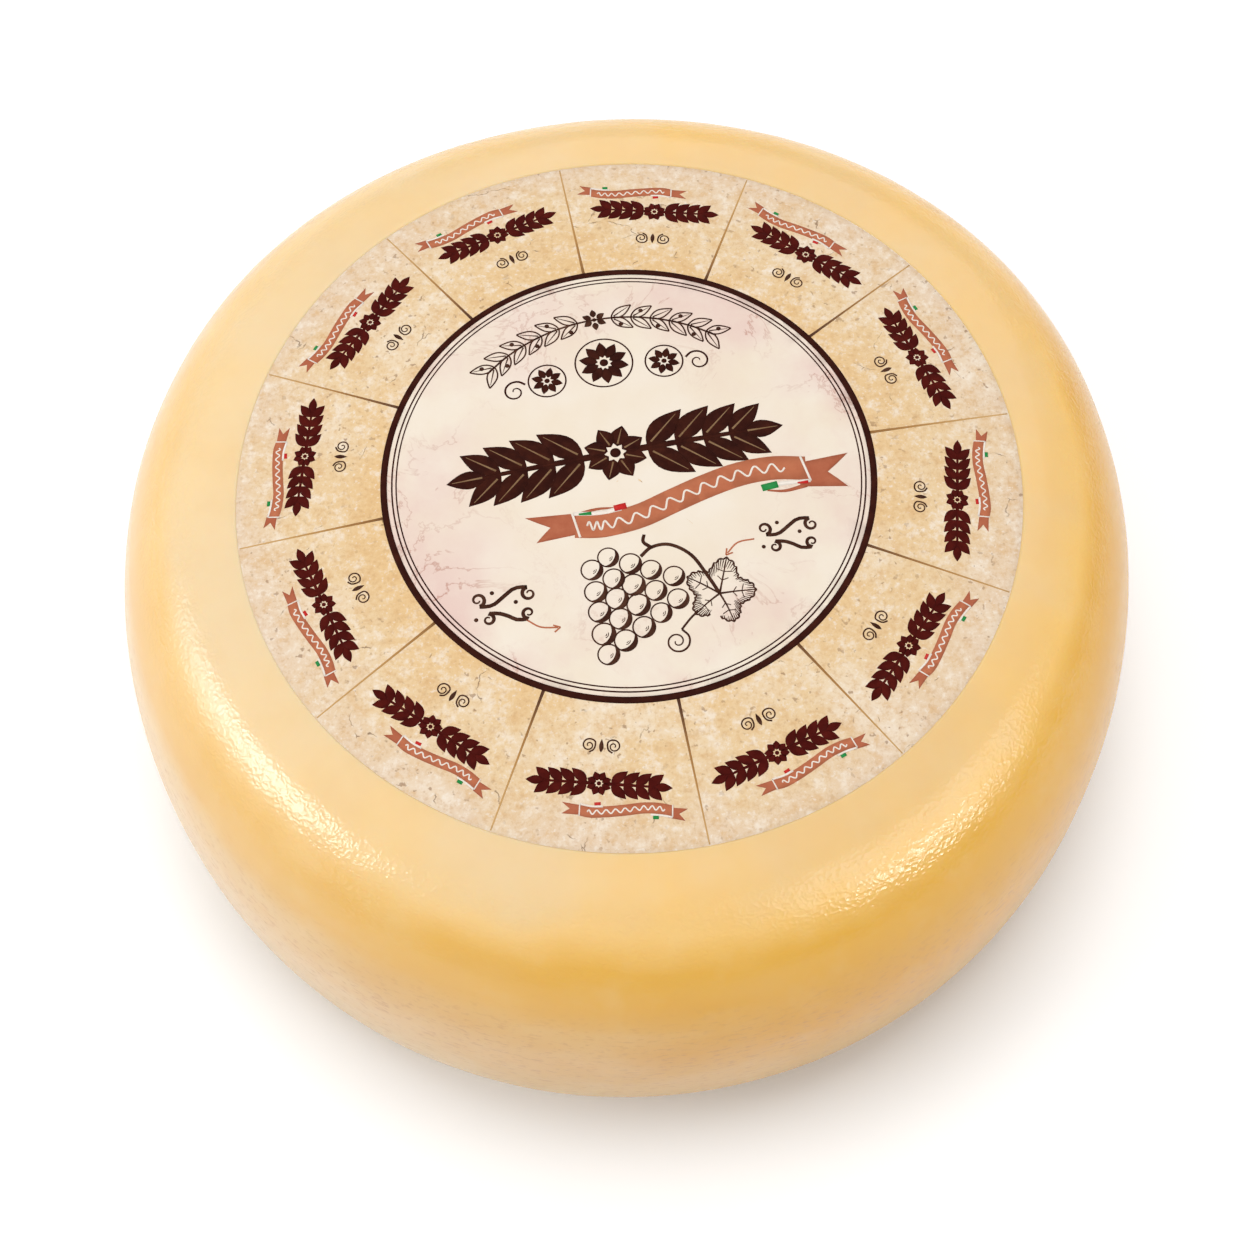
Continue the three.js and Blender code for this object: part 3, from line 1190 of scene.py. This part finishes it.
def vine_leaf(shape):
    """Five lobes round the foot of the stem, with veins and hatching along the edge."""
    def reach(angle):
        lobes = 0.5 + 0.5 * math.cos(5 * math.radians(angle))
        teeth = 0.35 * math.cos(math.radians(angle) * 35)
        return (7.4 + 3.2 * lobes ** 0.8 + teeth) * (1 - 0.22 * abs(angle) / 180)

    def spoke(angle, share):
        return polar(angle, reach(angle) * share)
    strip(shape, [spoke(angle, 1) for angle in range(-168, 169, 4)], 0.5, along=170)
    for lobe in range(-2, 3):
        angle = 72 * lobe
        vein = [spoke(angle, 0), spoke(angle * 0.98, 0.5), spoke(angle, 0.94)]
        strip(shape, vein, lambda s: 0.6 - 0.35 * s, along=8)
        for side in (1, -1):
            for share in (0.36, 0.6):
                strip(shape, [spoke(angle, share), spoke(angle + side * 17, share + 0.22)], 0.26, along=3)
    for angle in range(-164, 165, 4):
        depth = 0.12 + 0.16 * (0.5 + 0.5 * math.sin(math.radians(angle * 3 + 40)))
        strip(shape, [spoke(angle, 0.97), spoke(angle + 2, 0.97 - depth)], lambda s: 0.32 - 0.2 * s, along=2)


def grape_picture(shape):
    stamp(shape, drawing(bunch), *BUNCH_PLACE, turn=BUNCH_TURN)
    stamp(shape, drawing(vine_leaf), *LEAF_PLACE, turn=68, size=0.92)
    vine = [(-1.6, -24.4), (1.6, -22.4), (6.2, -22.6), (10.8, -26.4), (13.6, -32.6), LEAF_PLACE]
    strip(shape, vine, 0.9, along=28)
    strip(shape, [(1.6, -22.6), (-0.2, -20.6), (0.4, -18.6)], lambda s: 1.0 - 0.2 * s, along=8)
    strip(shape, curl(2.8, -48.6, 3.4, 0.5, 60, -620), lambda s: 0.55 - 0.25 * s, along=50)
    strip(shape, [(9.4, -41.6), (7.2, -43.2), (4.5, -45.66)], 0.55, along=6)


printed("grape_engraving", upright(grape_picture), line_ink, 0.035)

# %% [markdown]
# ## Flourishes
#
# Two pen flourishes stand either side of the picture, each with a small curved arrow in terracotta. They
# are single strokes that swell and thin as a pen would make them.


# %% Print the flourishes and arrows
def pen(s):
    """Width of a pen stroke that swells in its middle."""
    return 0.42 + 0.62 * math.sin(math.pi * s) ** 2


def flourish(shape):
    """Two rows of scrollwork: a long S between two curls, and a shorter one under it."""
    strip(shape, [*reversed(curl(-6.4, 3.0, 1.9, 0.5, -80, 420)), (-3.0, 0.9), (0, 2.6), (3.0, 4.3),
                  *curl(6.4, 2.2, 1.9, 0.5, 100, 420)], pen, along=80)
    strip(shape, [*reversed(curl(-4.6, -2.7, 1.6, 0.5, 80, -400)), (-1.8, -1.6), (0.4, -2.8), (2.4, -4.2),
                  *curl(5.4, -2.9, 1.6, 0.5, -100, -400)], pen, along=70)
    for x, y in ((-2.6, 4.2), (2.8, 0.6), (-7.6, -2.2)):
        dot(shape, x, y, 0.55)


def two_flourishes(shape):
    mesh = drawing(flourish)
    stamp(shape, mesh, -37.0, -30.9)
    stamp(shape, mesh, 36.2, -25.5, size=0.94)


def two_arrows(shape):
    strip(shape, [(-32.4, -35.6), (-29.4, -38.2), (-25.2, -39.2)], 0.42, along=8)
    strip(shape, [(27.2, -25.0), (22.9, -25.2), (19.8, -27.6)], 0.42, along=8)
    for x, y, angle in ((-24.6, -39.25, 2), (19.3, -28.1, -138)):
        for side in (1, -1):
            barb = polar(angle + 180 + 30 * side, 1.9)
            strip(shape, [(x, y), (x + barb.x, y + barb.y)], 0.4, along=2)


printed("flourishes", upright(two_flourishes), line_ink, 0.035)
printed("small_arrows", upright(two_arrows), terracotta_ink, 0.035)
